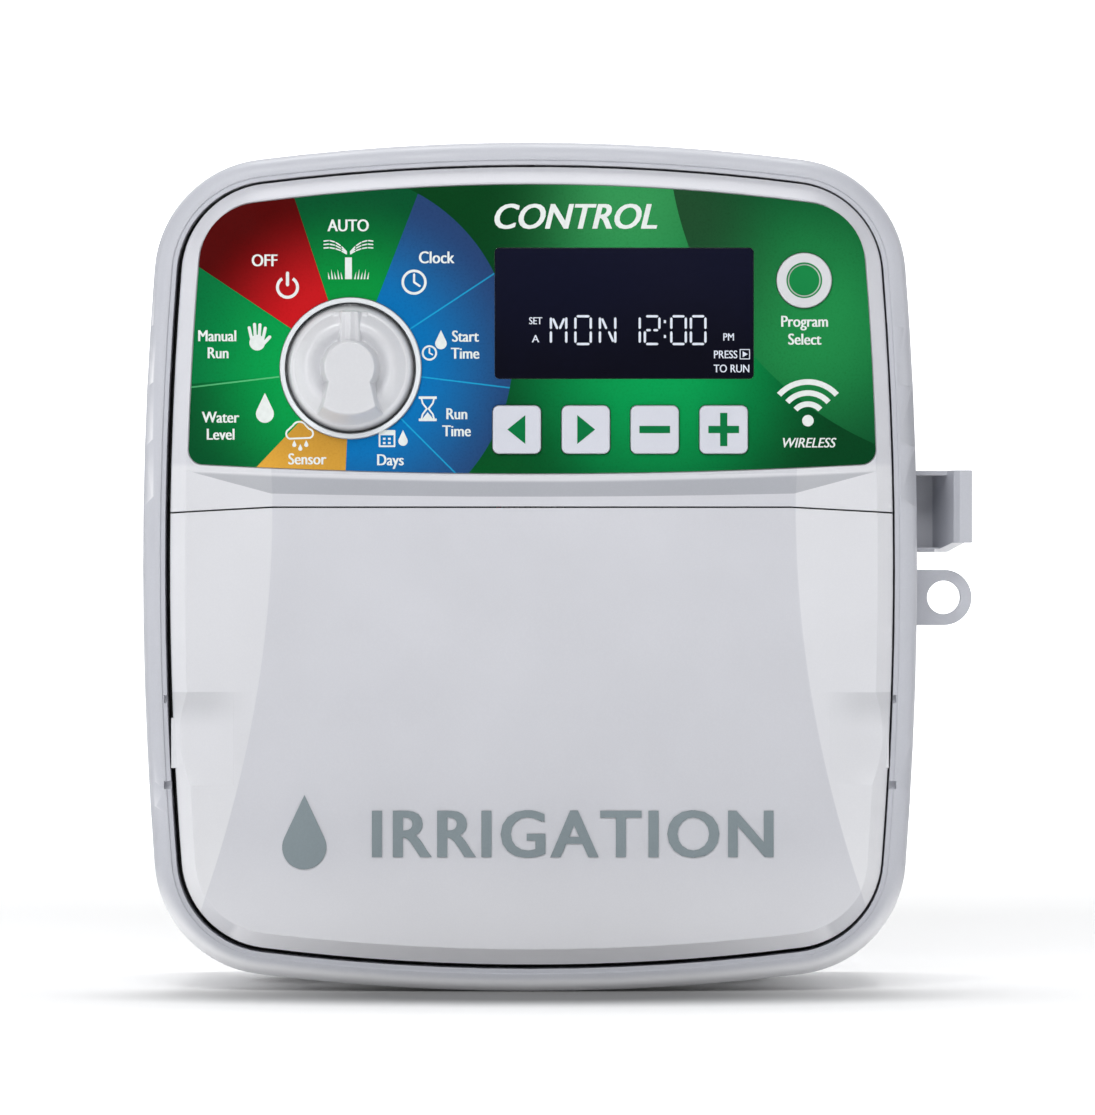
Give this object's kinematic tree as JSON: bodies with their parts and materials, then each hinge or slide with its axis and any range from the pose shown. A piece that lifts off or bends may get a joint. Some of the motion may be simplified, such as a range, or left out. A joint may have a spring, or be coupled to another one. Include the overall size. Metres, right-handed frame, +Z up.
{
  "type": "irrigation controller",
  "caption": "Wall-mounted irrigation timer without its door: rounded grey housing, green fascia with rotary dial, keys and display, pull-off wiring cover, door catch and padlock eye.",
  "frame": {"origin": "centre of the housing's back face, on the wall", "axes": "+X to the user's right, +Z up, the front faces -Y"},
  "size_m": [0.1964, 0.0855, 0.2],
  "materials": {
    "housing_grey": "light cool grey ABS, fine satin texture",
    "panel_grey": "light cool grey ABS, satin",
    "chassis_black": "black moulded ABS",
    "overlay_print": "printed polyester film, satin",
    "window_black": "glossy tinted window",
    "lcd_dark": "display cell",
    "black_plastic": "moulded nylon",
    "white_plastic": "moulded nylon",
    "contact_rubber": "layered contact rubber",
    "board_green": "solder mask on glass fibre",
    "chip_black": "moulded package",
    "capacitor_can": "sleeved can",
    "spring_steel": "stamped",
    "gold_contact": "plated",
    "zinc_screw": "zinc plated",
    "terminal_green": "moulded terminal strip",
    "disc_blue": "dipped disc",
    "ribbon_grey": "flat cable",
    "core_steel": "laminated steel, varnished",
    "coil_tape": "winding tape",
    "lead_black": "insulated lead",
    "lead_yellow": "insulated lead",
    "knob_grey": "light grey, satin",
    "key_grey": "light grey key",
    "key_ring_grey": "light grey round key",
    "button_red": "moulded cap",
    "cell_steel": "stamped can"
  },
  "bodies": {
    "housing": {"rear_housing": "housing_grey", "chassis_tray": "chassis_black", "fascia": "panel_grey", "overlay_film": "overlay_print", "lcd_window": "window_black", "lcd_frame": "black_plastic", "lcd_glass": "lcd_dark", "lcd_backlight": "white_plastic", "lcd_contact_strips": "contact_rubber", "control_board": "board_green", "microcontroller": "chip_black", "display_driver": "chip_black", "capacitors": "capacitor_can", "key_domes": "spring_steel", "dial_contacts": "gold_contact", "detent_spring": "spring_steel", "board_screws": "zinc_screw", "terminal_board": "board_green", "terminal_board_screws": "zinc_screw", "terminal_block": "terminal_green", "terminal_screws": "zinc_screw", "surge_discs": "disc_blue", "accessory_port": "black_plastic", "port_pins": "gold_contact", "reset_switch": "black_plastic", "battery_holder": "black_plastic", "battery_contact": "spring_steel", "ribbon_lead": "ribbon_grey", "ribbon_sockets": "white_plastic", "transformer_core": "core_steel", "transformer_coil": "coil_tape", "transformer_strap": "zinc_screw", "transformer_screws": "zinc_screw", "mains_terminal_block": "white_plastic", "mains_terminal_screws": "zinc_screw", "primary_leads": "lead_black", "secondary_leads": "lead_yellow", "power_plug": "white_plastic", "mains_lid": "chassis_black", "mains_lid_screw": "zinc_screw", "chassis_screws": "zinc_screw", "fascia_screws": "zinc_screw"},
    "dial": {"dial_knob": "knob_grey", "dial_shaft": "white_plastic", "detent_wheel": "white_plastic", "dial_wiper": "white_plastic"},
    "key_left": {"key_left": "key_grey"},
    "key_right": {"key_right": "key_grey"},
    "key_minus": {"key_minus": "key_grey"},
    "key_plus": {"key_plus": "key_grey"},
    "key_program": {"key_program": "key_ring_grey"},
    "reset_button": {"reset_button": "button_red"},
    "coin_cell": {"coin_cell": "cell_steel"},
    "wiring_cover": {"wiring_cover": "panel_grey"}
  },
  "joints": [
    {"name": "dial_turn", "type": "hinge", "parent": "housing", "child": "dial", "pos_m": [-0.0421, -0.0733, 0.0466], "axis": [0, -1, 0], "continuous": true},
    {"name": "key_left_press", "type": "slide", "parent": "housing", "child": "key_left", "axis": [0, 1, 0], "range_m": [0, 0.001], "stiffness_N_per_m": 800, "springref_m": -0.0005},
    {"name": "key_right_press", "type": "slide", "parent": "housing", "child": "key_right", "axis": [0, 1, 0], "range_m": [0, 0.001], "stiffness_N_per_m": 800, "springref_m": -0.0005},
    {"name": "key_minus_press", "type": "slide", "parent": "housing", "child": "key_minus", "axis": [0, 1, 0], "range_m": [0, 0.001], "stiffness_N_per_m": 800, "springref_m": -0.0005},
    {"name": "key_plus_press", "type": "slide", "parent": "housing", "child": "key_plus", "axis": [0, 1, 0], "range_m": [0, 0.001], "stiffness_N_per_m": 800, "springref_m": -0.0005},
    {"name": "key_program_press", "type": "slide", "parent": "housing", "child": "key_program", "axis": [0, 1, 0], "range_m": [0, 0.001], "stiffness_N_per_m": 800, "springref_m": -0.0005},
    {"name": "reset_press", "type": "slide", "parent": "housing", "child": "reset_button", "axis": [0, 1, 0], "range_m": [0, 0.0005], "stiffness_N_per_m": 800, "springref_m": -0.0003},
    {"name": "cell_lift", "type": "slide", "parent": "housing", "child": "coin_cell", "axis": [0, -1, 0], "range_m": [0, 0.007]},
    {"name": "cover_pull", "type": "slide", "parent": "housing", "child": "wiring_cover", "axis": [0, -1, 0], "range_m": [0, 0.06]}
  ]
}
